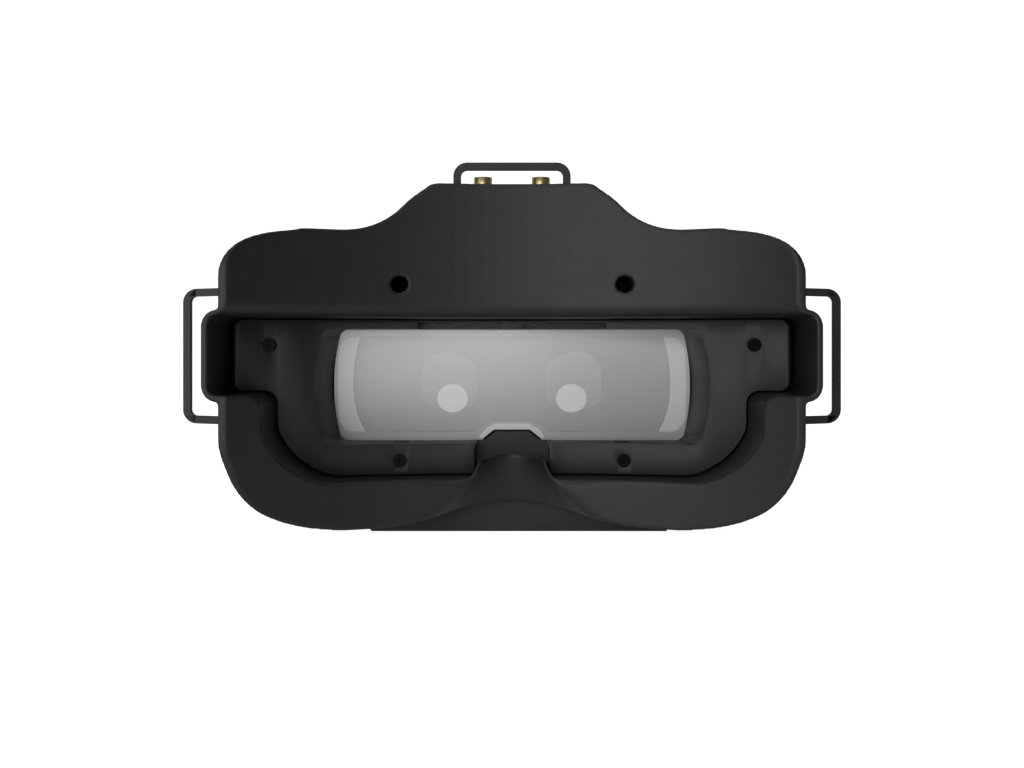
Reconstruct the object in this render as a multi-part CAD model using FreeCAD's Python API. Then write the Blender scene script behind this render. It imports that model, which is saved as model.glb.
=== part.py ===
import FreeCAD, Part
import math
import os

# Box-type FPV goggles, modelled in millimetres.
# X runs across the face, Y runs from the wearer to the front, Z is up.
# Every shape is drawn with Y counted from the rear rim, and moved by half the depth when it
# is written, so that the origin is the middle of the bottom of the box round the whole object.

V = FreeCAD.Vector
X_AXIS = V(1, 0, 0)
Y_AXIS = V(0, 1, 0)
Z_AXIS = V(0, 0, 1)

# ---- driving dimensions -------------------------------------------------------------------
DEPTH = 100.0              # rear rim to front face
RIM_X = 90.8               # half width of the face flange
NECK_X = 86.6              # half width of the body in front of the flange
FLANGE_Y = 18.0            # depth at which the flange starts to neck in
NECK_Y = 32.0              # depth at which the neck is reached
PARTING_Y = 58.0           # joint between rear and front shell
CHEEK_Z = 5.6              # underside of the cheeks
CHEEK_ROUND = 33.0         # height of the round corner at the cheeks
SHOULDER_ROUND = 16.5      # height of the round corner at the shoulders
SHOULDER_Z = 104.2         # top of the shoulders
HUMP_Z = 120.7             # top of the hump's rear lip
HUMP_DECK_Z = 116.4        # lower deck of the hump, which carries the antenna jacks
LIP_Y = 37.0               # front edge of the hump's rear lip
WALL = 2.4                 # main wall

FACE_SAG = 34.0            # how far the face surface sinks at the middle
FACE_X = 88.2              # half width of the face surface
FACE_R = (FACE_X ** 2 + FACE_SAG ** 2) / (2 * FACE_SAG)
FACE_CY = FACE_SAG - FACE_R

OPEN_TOP_Z = 75.4          # viewing opening
OPEN_WING_Z = 50.6         # underside of the temple pockets
OPEN_BOTTOM_Z = 21.4
OPEN_X = 94.1              # half width at the temple pockets
OPEN_DEEP_X = 79.0         # half width below the temple pockets
TUBE_WALL = 2.0            # wall of the tube that runs inwards from the opening
POCKET_Y = 34.0            # floor of the temple pockets
BROW_R = 4.2               # round over the viewing opening

PLATE_SAG = 19.0           # lens surround, a shallower curve than the face surface
PLATE_HALF = 90.0
PLATE_R = (PLATE_HALF ** 2 + PLATE_SAG ** 2) / (2 * PLATE_SAG)
PLATE_Y = 46.0             # depth of the surround at the middle
PLATE_T = 2.4
PLATE_CY = PLATE_Y - PLATE_R
PLATE_GAP = 0.6            # gap between the surround and the opening

WINDOW_TOP_Z = 71.9        # window in the surround that frames the lens
WINDOW_BOTTOM_Z = 32.4
WINDOW_MID_Z = (WINDOW_TOP_Z + WINDOW_BOTTOM_Z) / 2
WINDOW_X = 63.9            # half width of the window at the lens
FUNNEL_X = 67.6            # half width of the funnel in front of it, at depth FUNNEL_Y
FUNNEL_Y = 31.5
LENS_Y = 58.8              # face of the lens on the wearer's side
LENS_T = 2.6
LENS_X = 67.4              # half width of the lens
LENS_OVERLAP = 2.2         # how far the lens reaches behind the window's edge
CHASSIS_Y = 62.2
CHASSIS_T = 2.0

BELLY_LEFT_X = -51.0       # the belly is a little off the middle
BELLY_RIGHT_X = 56.0
BELLY_FRONT_Y = 95.0

LOOP_BAR = 2.6             # section of the strap loops
LOOP_T = 2.5
LOOP_ROUND = 4.7           # outer corners of the loops
LUG_GAP = 0.3              # between a loop's eyes and the lugs
SIDE_PIVOT_X = 90.2
SIDE_PIVOT_Y = 36.0
SIDE_LOOP_X = 111.0
TOP_PIVOT_Y = 40.0
TOP_PIVOT_Z = 119.0
TOP_LOOP_Z = 128.6
TOP_LOOP_X = 20.0
PIN_R = 0.8
EYE_R = 2.2                # outside of the eyes and of the lugs
FIT = 0.05                 # radial clearance of the pins in the loops' eyes

JACK_X = 10.2              # antenna jacks
JACK_Y = 53.0
JACK_TOP_Z = 125.3
JACK_R = 3.175             # 1/4-36 thread
JACK_FREE = 6.0            # thread left free above the nut
JACK_NECK_R = 2.9          # relief under the free thread, where the nut sits

FAN_SIZE = 25.0            # defogging fan
FAN_Z = 97.5
FAN_Y = 65.0
FAN_T = 7.0

BEYOND = 1.0               # how far a cutter reaches past the wall it cuts


# ---- small helpers ------------------------------------------------------------------------
def box(x0, x1, y0, y1, z0, z1):
    return Part.makeBox(x1 - x0, y1 - y0, z1 - z0, V(x0, y0, z0))


def cyl_y(x, z, r, y0, y1):
    return Part.makeCylinder(r, y1 - y0, V(x, y0, z), Y_AXIS)


def cyl_z(x, y, r, z0, z1):
    return Part.makeCylinder(r, z1 - z0, V(x, y, z0), Z_AXIS)


def cyl_x(y, z, r, x0, x1):
    return Part.makeCylinder(r, x1 - x0, V(x0, y, z), X_AXIS)


def prism_y(wire, y0, y1):
    """A wire drawn in the XZ plane at Y 0, made solid from y0 to y1."""
    flat = wire.copy()
    flat.translate(V(0, y0, 0))
    return Part.Face(flat).extrude(V(0, y1 - y0, 0))


def fuse(shapes):
    whole = shapes[0].fuse(shapes[1:])
    return whole.removeSplitter()


def mirror_x(shape):
    return shape.mirror(V(0, 0, 0), X_AXIS)


def both_sides(shape):
    return [shape, mirror_x(shape)]


def spline(points, start, end):
    curve = Part.BSplineCurve()
    places = [V(x, 0, z) for x, z in points]
    curve.interpolate(Points=places, InitialTangent=V(start[0], 0, start[1]),
                      FinalTangent=V(end[0], 0, end[1]))
    return curve.toShape()


def line(a, b):
    return Part.LineSegment(V(a[0], 0, a[1]), V(b[0], 0, b[1])).toShape()


def arc(a, b, c):
    return Part.Arc(V(a[0], 0, a[1]), V(b[0], 0, b[1]), V(c[0], 0, c[1])).toShape()


def mirrored_wire(edges):
    """Closes a right-hand half outline, drawn from bottom to top, with its mirror image."""
    other = [edge.mirror(V(0, 0, 0), X_AXIS) for edge in edges]
    return Part.Wire(Part.__sortEdges__(edges + other))


def rounded_rect(x0, x1, z0, z1, r):
    """A rectangle with round corners in the XZ plane."""
    k = r * (1 - math.sqrt(0.5))
    edges = [
        line((x0 + r, z0), (x1 - r, z0)),
        arc((x1 - r, z0), (x1 - k, z0 + k), (x1, z0 + r)),
        line((x1, z0 + r), (x1, z1 - r)),
        arc((x1, z1 - r), (x1 - k, z1 - k), (x1 - r, z1)),
        line((x1 - r, z1), (x0 + r, z1)),
        arc((x0 + r, z1), (x0 + k, z1 - k), (x0, z1 - r)),
        line((x0, z1 - r), (x0, z0 + r)),
        arc((x0, z0 + r), (x0 + k, z0 + k), (x0 + r, z0)),
    ]
    return Part.Wire(edges)


def at_depth(wire, y):
    moved = wire.copy()
    moved.translate(V(0, y, 0))
    return moved


def loft(wires):
    return Part.makeLoft(wires, True, True)


def behind_arc(half_x, sag, z0=-20.0, z1=150.0):
    """The space on the wearer's side of a hollow face whose middle lies at depth sag."""
    rim = [V(-half_x, 0, z0), V(0, sag, z0), V(half_x, 0, z0)]
    edges = [Part.Arc(rim[0], rim[1], rim[2]).toShape(),
             Part.LineSegment(rim[2], rim[0]).toShape()]
    return Part.Face(Part.Wire(edges)).extrude(V(0, 0, z1 - z0))


def cylinder_about_z(cy, r):
    return Part.makeCylinder(r, 200.0, V(0, cy, -20.0), Z_AXIS)


# ---- outlines -----------------------------------------------------------------------------
def cheek_start(s):
    """Where the round cheek corner starts on the underside."""
    return min(54.0, s - 30.0)


def cheek_curve(s, low):
    """Round lower corner of the body, from the underside at height low to the side wall at X s."""
    points = [(cheek_start(s), low), (s - 28.1, low + 1.0), (s - 21.1, low + 2.8),
              (s - 14.3, low + 5.8), (s - 9.9, low + 8.9), (s - 5.7, low + 13.9),
              (s - 3.2, low + 18.6), (s - 1.1, low + 25.0), (s, low + CHEEK_ROUND)]
    return spline(points, (1, 0), (0, 1))


def shoulder_curve(s, top, flank_x):
    """Round upper corner of the body, from the side wall at X s to the foot of the hump's flank."""
    points = [(s, top - SHOULDER_ROUND), (s - 1.4, top - 10.6), (s - 3.6, top - 7.5),
              (s - 5.7, top - 5.6), (s - 9.9, top - 3.3), (s - 14.3, top - 1.9),
              (s - 21.1, top - 0.7), (flank_x, top)]
    return spline(points, (0, 1), (-1, 0))


def hump_flank(flank_x, top, crown_x, hump, inset):
    """S-shaped flank of the hump, from its foot on the shoulder to its flat top."""
    shares = [(0.65, 0.13), (0.42, 0.43), (0.31, 0.65), (0.14, 0.91)]   # of the way out and up
    points = [(crown_x + u * (flank_x - crown_x) - 0.2 * inset, top + w * (hump - top))
              for u, w in shares]
    return spline([(flank_x, top)] + points + [(crown_x, hump)], (-1, 0), (-1, 0))


def nose_arch(arch_x, low, arch):
    """Low arch over the nose in the underside of the body."""
    points = [(0, low + arch), (arch_x / 3, low + 0.76 * arch),
              (0.65 * arch_x, low + 0.28 * arch), (arch_x, low)]
    return spline(points, (1, 0), (1, 0))


def body_outline(side_x, hump_z=HUMP_Z, shoulder_z=SHOULDER_Z, cheek_z=CHEEK_Z, arch=6.0,
                 inset=0.0):
    """Outline of the body seen from the wearer's side, with a nose arch of the given height."""
    s = side_x - inset
    low = cheek_z + inset
    top = shoulder_z - inset
    hump = hump_z - inset
    cheek_x = cheek_start(s)
    arch_x = cheek_x - 6.0                 # where the nose arch ends
    flank_x = min(57.0, s - 27.0) - 0.2 * inset
    crown_x = 24.0 - 0.3 * inset           # half width of the hump's flat top
    middle = nose_arch(arch_x, low, arch) if arch > 0 else line((0, low), (arch_x, low))
    edges = [
        middle,
        line((arch_x, low), (cheek_x, low)),
        cheek_curve(s, low),
        line((s, low + CHEEK_ROUND), (s, top - SHOULDER_ROUND)),
        shoulder_curve(s, top, flank_x),
        hump_flank(flank_x, top, crown_x, hump, inset),
        line((crown_x, hump), (0, hump)),
    ]
    return mirrored_wire(edges)


def opening_outline(grow=0.0, wing_x=OPEN_X, bottom_z=OPEN_BOTTOM_Z):
    """Viewing opening: a wide band at the temples and a deeper middle."""
    g = grow
    r = 3.2 + g
    k = r * (1 - math.sqrt(0.5))
    x = wing_x + g
    top = OPEN_TOP_Z + g
    wing = OPEN_WING_Z - g
    low = bottom_z - g
    deep = OPEN_DEEP_X + g
    c = 4.0 - g * 0.5
    kc = c * (1 - math.sqrt(0.5))
    edges = [
        line((0, low), (58.0, low)),
        spline([(58.0, low), (deep - 12.3, low + 2.4), (deep - 7.2, low + 5.9),
                (deep - 3.4, low + 10.1), (deep - 0.8, low + 14.6), (deep, wing - 9.0)],
               (1, 0), (0, 1)),
        line((deep, wing - 9.0), (deep, wing - c)),
        arc((deep, wing - c), (deep + kc, wing - kc), (deep + c, wing)),
        line((deep + c, wing), (x - r, wing)),
        arc((x - r, wing), (x - k, wing + k), (x, wing + r)),
        line((x, wing + r), (x, top - r)),
        arc((x, top - r), (x - k, top - k), (x - r, top)),
        line((x - r, top), (0, top)),
    ]
    return mirrored_wire(edges)


def window_outline(half_x, grow=0.0):
    """Lens window: straight top and sill, sides that bow outwards and run into round corners."""
    z0 = WINDOW_BOTTOM_Z - grow
    z1 = WINDOW_TOP_Z + grow
    x = half_x + grow
    edges = [
        line((0, z0), (x - 5.4, z0)),
        arc((x - 5.4, z0), (x - 3.3, z0 + 1.0), (x - 2.3, z0 + 3.4)),
        arc((x - 2.3, z0 + 3.4), (x, WINDOW_MID_Z), (x - 2.3, z1 - 3.4)),
        arc((x - 2.3, z1 - 3.4), (x - 3.3, z1 - 1.0), (x - 5.4, z1)),
        line((x - 5.4, z1), (0, z1)),
    ]
    return mirrored_wire(edges)


# ---- rear shell ---------------------------------------------------------------------------
NOSE_SECTIONS = [          # height, half width, depth of the relief
    (2.0, 36.0, 51.6),
    (11.0, 26.0, 49.2),
    (18.0, 18.0, 47.3),
    (24.0, 13.6, 45.7),
    (31.0, 11.4, 44.0),
]
NOSE_BACK_Y = 22.0
NOSE_SHOULDER_Y = 34.0


def nose_solid(grow):
    """The nose relief: a bell that widens and sinks forward towards the bottom."""
    wires = []
    for z, half, deep in NOSE_SECTIONS:
        w = half + grow
        d = deep + grow
        half_curve = [(1.0, NOSE_BACK_Y), (0.86, NOSE_SHOULDER_Y), (0.52, d - 3.6)]
        left = [V(-share * w, y, z) for share, y in half_curve]
        right = [V(share * w, y, z) for share, y in reversed(half_curve)]
        curve = Part.BSplineCurve()
        curve.interpolate(Points=left + [V(0, d, z)] + right)
        back = Part.LineSegment(right[-1], left[0]).toShape()
        wires.append(Part.Wire([curve.toShape(), back]))
    return Part.makeLoft(wires, True, False)


def nose_wall():
    """The wall of the relief, which ends in a low crest in front of the lens surround."""
    wall = nose_solid(1.6)
    crest = Part.Wire([line((-40, -10), (40, -10)), line((40, -10), (40, 16)),
                       arc((40, 16), (0, 29.6), (-40, 16)), line((-40, 16), (-40, -10))])
    wall = wall.common(prism_y(crest, 10.0, 60.0))
    return wall


def brow_round():
    """Rounds the edge over the viewing opening, along the hollow face surface."""
    r = BROW_R
    k = r * (1 - math.sqrt(0.5))
    x = FACE_R
    z = OPEN_TOP_Z
    profile = Part.Wire([
        line((x - 1, z - 1), (x - 1, z + r)),
        line((x - 1, z + r), (x, z + r)),
        arc((x, z + r), (x + k, z + k), (x + r, z)),
        line((x + r, z), (x + r, z - 1)),
        line((x + r, z - 1), (x - 1, z - 1)),
    ])
    ring = Part.Face(profile).revolve(V(0, 0, 0), Z_AXIS, 360)
    ring.translate(V(0, FACE_CY, 0))
    return ring.common(box(-OPEN_X, OPEN_X, -2.0, 60.0, z - 2, z + r + 1))


def face_depth(x):
    """Depth of the hollow face surface."""
    return FACE_CY + math.sqrt(FACE_R ** 2 - x ** 2)


def rim_section(p, t):
    """Section through a rim cutter at point p of the outline, whose tangent is t."""
    up = -1 if p.z < WINDOW_MID_Z else 1
    outwards = V(abs(t.z), 0, up * abs(t.x))
    width = max(0.05, (RIM_X - FACE_X) * outwards.x ** 3)
    inner = p - outwards * width
    outer = p + outwards * 3.0
    front = face_depth(min(inner.x, FACE_X))
    back = front - 12.0
    corners = [V(inner.x, front, inner.z), V(outer.x, front, outer.z),
               V(outer.x, back, outer.z), V(inner.x, back, inner.z)]
    return Part.makePolygon(corners + corners[:1])


def rim_flat(curve):
    """Cuts the sharp rim back to a flat band that thins out round a corner of the body."""
    steps = 14
    span = curve.LastParameter - curve.FirstParameter
    sections = []
    for i in range(steps + 1):
        at = curve.FirstParameter + span * (0.02 + 0.96 * i / steps)
        sections.append(rim_section(curve.valueAt(at), curve.tangentAt(at)))
    return Part.makeLoft(sections, True, True)


def rim_flats():
    curves = [cheek_curve(RIM_X, CHEEK_Z), shoulder_curve(RIM_X, SHOULDER_Z, 57.0)]
    cutters = []
    for curve in curves:
        cutters += both_sides(rim_flat(curve))
    return cutters


def shell_envelope(inset):
    """Outer or inner volume of the rear shell."""
    start = -1.0 if inset > 0 else 0.0
    end = PARTING_Y + (1.0 if inset > 0 else 0.0)
    flange = body_outline(RIM_X, inset=inset)
    neck = body_outline(NECK_X, inset=inset)
    parts = [
        prism_y(flange, start, FLANGE_Y),
        loft([at_depth(flange, FLANGE_Y), at_depth(neck, NECK_Y)]),
        prism_y(neck, NECK_Y, end),
    ]
    return fuse(parts)


def pocket_fairing():
    """Closes the front of a temple pocket and slopes back to the side wall."""
    z0 = OPEN_WING_Z - TUBE_WALL
    z1 = OPEN_TOP_Z + TUBE_WALL
    x = OPEN_X + TUBE_WALL
    outline = [V(NECK_X - 3, POCKET_Y - 6, z0), V(x, POCKET_Y - 6, z0), V(x, POCKET_Y, z0),
               V(NECK_X, POCKET_Y + 12, z0), V(NECK_X - 3, POCKET_Y + 12, z0)]
    slope = Part.Face(Part.makePolygon(outline + outline[:1])).extrude(V(0, 0, z1 - z0))
    corners = prism_y(rounded_rect(NECK_X - 20, x, z0, z1, 3.2 + TUBE_WALL), 0, 60)
    return slope.common(corners)


def side_lug(z0, z1):
    """A lug on the side wall that holds one pin of a side loop."""
    plate = box(NECK_X - 1.0, SIDE_PIVOT_X, SIDE_PIVOT_Y - EYE_R, SIDE_PIVOT_Y + EYE_R, z0, z1)
    return fuse([plate, cyl_z(SIDE_PIVOT_X, SIDE_PIVOT_Y, EYE_R, z0, z1)])


def top_lug(x0, x1):
    """A lug on the hump's deck that holds a pin of the top loop."""
    foot = box(x0, x1, TOP_PIVOT_Y - EYE_R, TOP_PIVOT_Y + EYE_R, HUMP_DECK_Z - 1.0, TOP_PIVOT_Z)
    return fuse([foot, cyl_x(TOP_PIVOT_Y, TOP_PIVOT_Z, EYE_R, x0, x1)])


SIDE_LUGS = [(87.0, 89.4), (79.2, 81.6), (43.8, 46.2), (36.0, 38.4)]   # spans in height
SIDE_EYES = [(81.9, 86.7), (38.7, 43.5)]
TOP_LUGS = [(14.2, 16.2), (21.3, 23.3)]                                # spans in X
TOP_EYE_X = (16.5, 21.0)
WELL_X = 37.5              # screw wells in the forehead, which hold the two shells together
WELL_Z = 86.6
WELL_R = 2.8
WELL_FLOOR_Y = 54.0
POCKET_INNER_X = 84.2      # where the floor of a temple pocket starts


def lugs():
    """The lugs that carry the pins of the three strap loops."""
    shapes = []
    for z0, z1 in SIDE_LUGS:
        shapes += both_sides(side_lug(z0, z1))
    for x0, x1 in TOP_LUGS:
        shapes += both_sides(top_lug(x0, x1))
    return shapes


def rear_shell_void():
    """Space inside the rear shell, round the walls of the opening, the nose and the wells."""
    under_deck = box(-60, 60, LIP_Y - WALL, PARTING_Y + 2, HUMP_DECK_Z - WALL, HUMP_Z + 5)
    inner = shell_envelope(WALL).cut(under_deck)
    behind = cylinder_about_z(FACE_CY, FACE_R + WALL)
    tube = prism_y(opening_outline(TUBE_WALL), 0.0, 50.0)
    wells = [cyl_y(x, WELL_Z, WELL_R + 1.6, 15.0, WELL_FLOOR_Y + 2.0) for x in (-WELL_X, WELL_X)]
    return inner.cut([behind, tube]).cut(fuse([nose_wall()] + wells))


def rear_shell_bores():
    """Screw wells, jack holes and pin holes."""
    cuts = []
    for x in (-WELL_X, WELL_X):
        cuts.append(cyl_y(x, WELL_Z, WELL_R, 10.0, WELL_FLOOR_Y))
        cuts.append(cyl_y(x, WELL_Z, 1.6, 50.0, PARTING_Y + BEYOND))
    for x in (-JACK_X, JACK_X):
        cuts.append(cyl_z(x, JACK_Y, JACK_R + 0.15, HUMP_DECK_Z - 5, HUMP_DECK_Z + 5))
    for z0, z1 in SIDE_LUGS:
        cuts += both_sides(cyl_z(SIDE_PIVOT_X, SIDE_PIVOT_Y, PIN_R, z0 - 0.5, z1 + 0.5))
    for x0, x1 in TOP_LUGS:
        cuts += both_sides(cyl_x(TOP_PIVOT_Y, TOP_PIVOT_Z, PIN_R, x0 - 0.5, x1 + 0.5))
    return cuts


def rear_shell():
    """Housing half on the wearer's side: flange, hollow face surface, opening and nose relief."""
    face = behind_arc(FACE_X, FACE_SAG)
    deck = box(-60, 60, LIP_Y, PARTING_Y + BEYOND, HUMP_DECK_Z, HUMP_Z + 5)
    outer = shell_envelope(0.0).cut(deck)
    tube = prism_y(opening_outline(TUBE_WALL), 0.0, 50.0)
    shell = outer.fuse([tube] + both_sides(pocket_fairing()))
    shell = shell.cut(rear_shell_void()).cut(face)
    opening = prism_y(opening_outline(0.0), -1.0, 60.0)
    floors = box(POCKET_INNER_X, OPEN_X + 5, POCKET_Y, 61.0, 40.0, 90.0)
    opening = opening.cut(both_sides(floors))
    keep = nose_wall()
    shell = shell.cut(opening.cut(keep))
    shell = shell.fuse(keep.common(opening).cut(face))
    shell = shell.cut([nose_solid(0.0), brow_round()] + rim_flats())
    return shell.fuse(lugs()).cut(rear_shell_bores()).removeSplitter()


# ---- front shell --------------------------------------------------------------------------
FRONT_TOP_Z = 100.0
FRONT_HUMP_Z = 108.0
SIDE_TAPER = 6.0           # how much narrower the front face is on each side


def front_sections(inset):
    """Outlines of the front shell at the parting line, near the front and on the front face."""
    rear = body_outline(NECK_X, hump_z=HUMP_DECK_Z, arch=0.0, inset=inset)
    ahead = body_outline(NECK_X - SIDE_TAPER, hump_z=FRONT_HUMP_Z, shoulder_z=FRONT_TOP_Z,
                         arch=0.0, inset=inset)
    face = body_outline(NECK_X - SIDE_TAPER - 6, hump_z=FRONT_HUMP_Z - 6,
                        shoulder_z=FRONT_TOP_Z - 6, cheek_z=CHEEK_Z + 5, arch=0.0, inset=inset)
    return rear, ahead, face


def front_volume(inset):
    rear, ahead, face = front_sections(inset)
    front = DEPTH - (WALL if inset > 0 else 0.0)
    back = PARTING_Y - (1.0 if inset > 0 else 0.0)
    return fuse([loft([at_depth(rear, back), at_depth(ahead, front - 6)]),
                 loft([at_depth(ahead, front - 6), at_depth(face, front)])])


def belly(inset):
    """The flat-bottomed bulge under the body that the goggles stand on."""
    x0 = BELLY_LEFT_X + inset
    x1 = BELLY_RIGHT_X - inset
    z0 = inset
    front = BELLY_FRONT_Y - inset
    outline = [V(x0, 0, 14), V(x0, 0, z0 + 1), V(x0 + 1, 0, z0),
               V(x1 - 1, 0, z0), V(x1, 0, z0 + 1), V(x1, 0, 14)]
    block = Part.Face(Part.makePolygon(outline + outline[:1])).extrude(V(0, 60, 0))
    block.translate(V(0, PARTING_Y + inset, 0))
    slope = [V(-80, front - 8, z0), V(-80, front, z0 + 8), V(-80, front, 20),
             V(-80, 150, 20), V(-80, 150, z0 - 5), V(-80, front - 8, z0 - 5)]
    cutter = Part.Face(Part.makePolygon(slope + slope[:1])).extrude(V(160, 0, 0))
    return block.cut([cutter, box(-80, 80, front, 160, -5, 30)])


def side_wall_x(y):
    """Half width of the front shell at a depth."""
    return NECK_X - SIDE_TAPER * (y - PARTING_Y) / (DEPTH - 6 - PARTING_Y)


PORTS = {   # side, depth, height, opening along Y and Z, round
    "hdmi_port": (1, 86.0, 62.0, 11.6, 3.6, False),
    "av_jack": (1, 86.0, 46.0, 6.4, 6.4, True),
    "card_slot": (1, 86.0, 33.0, 12.4, 2.4, False),
    "power_inlet": (-1, 86.0, 60.0, 8.6, 8.6, True),
    "earphone_jack": (-1, 86.0, 44.0, 6.4, 6.4, True),
}
BUTTONS = {"power_button": (-58.5, 74.0), "menu_button": (-47.0, 74.0)}
BUTTON_R = 4.0
SHELL_GAP = 0.3            # round the ports and buttons
WHEEL_X = 56.0
WHEEL_Y = 74.0
WHEEL_Z = 95.5
WHEEL_R = 8.0
WHEEL_W = 5.0
WHEEL_GROOVES = 24
AXLE_R = 1.5
VENT_ROWS = 5
VENT_X = 50.0
VENT_HALF = 14.0
VENT_Z = 24.0
VENT_STEP = 6.0
LAMP_Z = 84.0              # light pipe over the front panel
SCREW_BOSS_Y = 72.0
RIB_Y = CHASSIS_Y + CHASSIS_T + 0.6


def port_opening(side, y, z, wide, high, is_round):
    x0, x1 = (70.0, 95.0) if side > 0 else (-95.0, -70.0)
    if is_round:
        return cyl_x(y, z, wide / 2 + SHELL_GAP, x0, x1)
    half_y = wide / 2 + SHELL_GAP
    half_z = high / 2 + SHELL_GAP
    return box(x0, x1, y - half_y, y + half_y, z - half_z, z + half_z)


def vent_slots():
    slots = []
    for row in range(VENT_ROWS):
        z = VENT_Z + VENT_STEP * row
        slot = box(VENT_X - VENT_HALF, VENT_X + VENT_HALF, DEPTH - 8, DEPTH + BEYOND, z, z + 2.4)
        slots += both_sides(slot)
    return slots


def wheel_slot():
    half = WHEEL_W / 2 + 0.5
    return box(WHEEL_X - half, WHEEL_X + half, WHEEL_Y - 8.5, WHEEL_Y + 8.5, 94, 110)


def front_shell_void():
    """Space inside the front shell, round the screw bosses and their ribs."""
    wall = box(BELLY_LEFT_X, BELLY_RIGHT_X, PARTING_Y - 5, PARTING_Y + WALL, -5, CHEEK_Z + 9)
    bosses = []
    for x in (-WELL_X, WELL_X):
        bosses.append(cyl_y(x, WELL_Z, 3.4, PARTING_Y, SCREW_BOSS_Y))
        bosses.append(box(x - 1, x + 1, RIB_Y, SCREW_BOSS_Y, WELL_Z, SHOULDER_Z))
    return fuse([front_volume(WALL), belly(WALL)]).cut(wall).cut(fuse(bosses))


def front_shell():
    """Housing half away from the wearer, with the ports, the controls and the belly."""
    shell = fuse([front_volume(0.0), belly(0.0)])
    shell = shell.cut(box(-200, 200, PARTING_Y - 5, PARTING_Y, -5, 200))
    shell = shell.cut(front_shell_void())
    cuts = [port_opening(*values) for values in PORTS.values()]
    cuts += [cyl_z(x, y, BUTTON_R + SHELL_GAP, 90, 110) for x, y in BUTTONS.values()]
    cuts += vent_slots()
    cuts += [cyl_y(x, WELL_Z, 1.25, PARTING_Y - 1, SCREW_BOSS_Y - 2) for x in (-WELL_X, WELL_X)]
    cuts += [wheel_slot(), front_panel_plate(0.25)]
    cuts.append(cyl_y(0.0, LAMP_Z, 1.3, DEPTH - 8, DEPTH + BEYOND))
    return shell.cut(cuts).removeSplitter()


def front_panel_plate(gap):
    """The smooth panel let into the front face, or with a gap the recess it lies in."""
    plate = rounded_rect(-30 - gap, 30 + gap, 26 - gap, 76 + gap, 8 + gap)
    return prism_y(plate, DEPTH - 1.2 - gap, DEPTH + (BEYOND if gap else 0.0))


def front_panel():
    return front_panel_plate(0.0)


def light_pipe():
    pipe = cyl_y(0.0, LAMP_Z, 1.2, DEPTH - 6, DEPTH)
    collar = cyl_y(0.0, LAMP_Z, 2.0, DEPTH - 6, DEPTH - 3)
    return fuse([pipe, collar])


# ---- lens surround, lens and light path ---------------------------------------------------
PLATE_SCREWS = [(-80.9, 66.4), (80.9, 66.4), (-38.5, 26.6), (38.5, 26.6)]


def plate_depth(x):
    return PLATE_CY + math.sqrt(PLATE_R ** 2 - x ** 2)


def polygon_xz(corners):
    """A closed polygon in the XZ plane."""
    points = [V(x, 0, z) for x, z in corners]
    return Part.makePolygon(points + points[:1])


def funnel(grow, front):
    """Window opening that narrows from FUNNEL_Y to the given depth."""
    return loft([at_depth(window_outline(FUNNEL_X, grow), FUNNEL_Y),
                 at_depth(window_outline(WINDOW_X, grow), front)])


def nose_hood():
    """The hood in the surround that clears the nose, with sloping upper corners."""
    crown = polygon_xz([(-20, 10), (20, 10), (20, 32.6), (9.6, 32.6), (5.9, 35.6),
                        (-5.9, 35.6), (-9.6, 32.6), (-20, 32.6)])
    outer = prism_y(rounded_rect(-14.4, 14.4, 23.6, 45.0, 5.0), 40.0, LENS_Y - 0.3)
    outer = outer.common(prism_y(crown, 30.0, 70.0)).cut(cylinder_about_z(PLATE_CY, PLATE_R))
    inner = prism_y(rounded_rect(-13.0, 13.0, 15.0, 60.0, 4.0), 20.0, LENS_Y - 2.0)
    return outer.cut(inner)


def surround_cuts():
    """Screw seats, the slots over the window and the two small slots in the sill."""
    cuts = []
    for x, z in PLATE_SCREWS:
        y = plate_depth(x)
        cuts.append(cyl_y(x, z, 2.3, y - 6, y + 1.1))
        cuts.append(cyl_y(x, z, 1.3, y - 6, y + 8))
    cuts += both_sides(box(3.8, 32.4, 38.0, 50.0, WINDOW_TOP_Z - 0.2, OPEN_TOP_Z - 1.3))
    cuts += both_sides(box(35.9, 41.5, 48.0, 54.0, WINDOW_BOTTOM_Z - 3.0, WINDOW_BOTTOM_Z + 0.5))
    return cuts


def lens_surround():
    """Curved plate in the viewing opening, with a funnel round the window and a nose hood."""
    outline = opening_outline(-PLATE_GAP, wing_x=OPEN_X - 2.4, bottom_z=OPEN_BOTTOM_Z)
    hollow = cylinder_about_z(PLATE_CY, PLATE_R)
    plate = cylinder_about_z(PLATE_CY, PLATE_R + PLATE_T).cut(hollow)
    plate = plate.common(prism_y(outline, 20.0, 60.0))
    walls = funnel(1.8, LENS_Y - 0.2).cut(hollow)
    plate = plate.fuse(walls).cut(funnel(0.0, LENS_Y))
    plate = plate.cut(prism_y(rounded_rect(-13.0, 13.0, 15.0, 34.0, 4.0), 20.0, LENS_Y - 2.0))
    plate = plate.fuse(nose_hood())
    plate = plate.cut(nose_solid(2.1))
    return plate.cut(surround_cuts()).removeSplitter()


def pan_head_screw(x, z, y, head_r, head_t, shank_r, length):
    """A pan-head screw along Y with a cross recess; y is the back of the head."""
    head = cyl_y(x, z, head_r, y, y + head_t)
    shank = cyl_y(x, z, shank_r, y + head_t, y + head_t + length)
    cross = [box(x - 1.1, x + 1.1, y - 1, y + 0.7, z - 0.25, z + 0.25),
             box(x - 0.25, x + 0.25, y - 1, y + 0.7, z - 1.1, z + 1.1)]
    return head.fuse(shank).cut(cross)


def surround_screws():
    screws = []
    for x, z in PLATE_SCREWS:
        y = plate_depth(x)
        screws.append(pan_head_screw(x, z, y - 0.6, 2.1, 1.6, 1.1, CHASSIS_Y - y - 5.0))
    return Part.Compound(screws)


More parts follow.
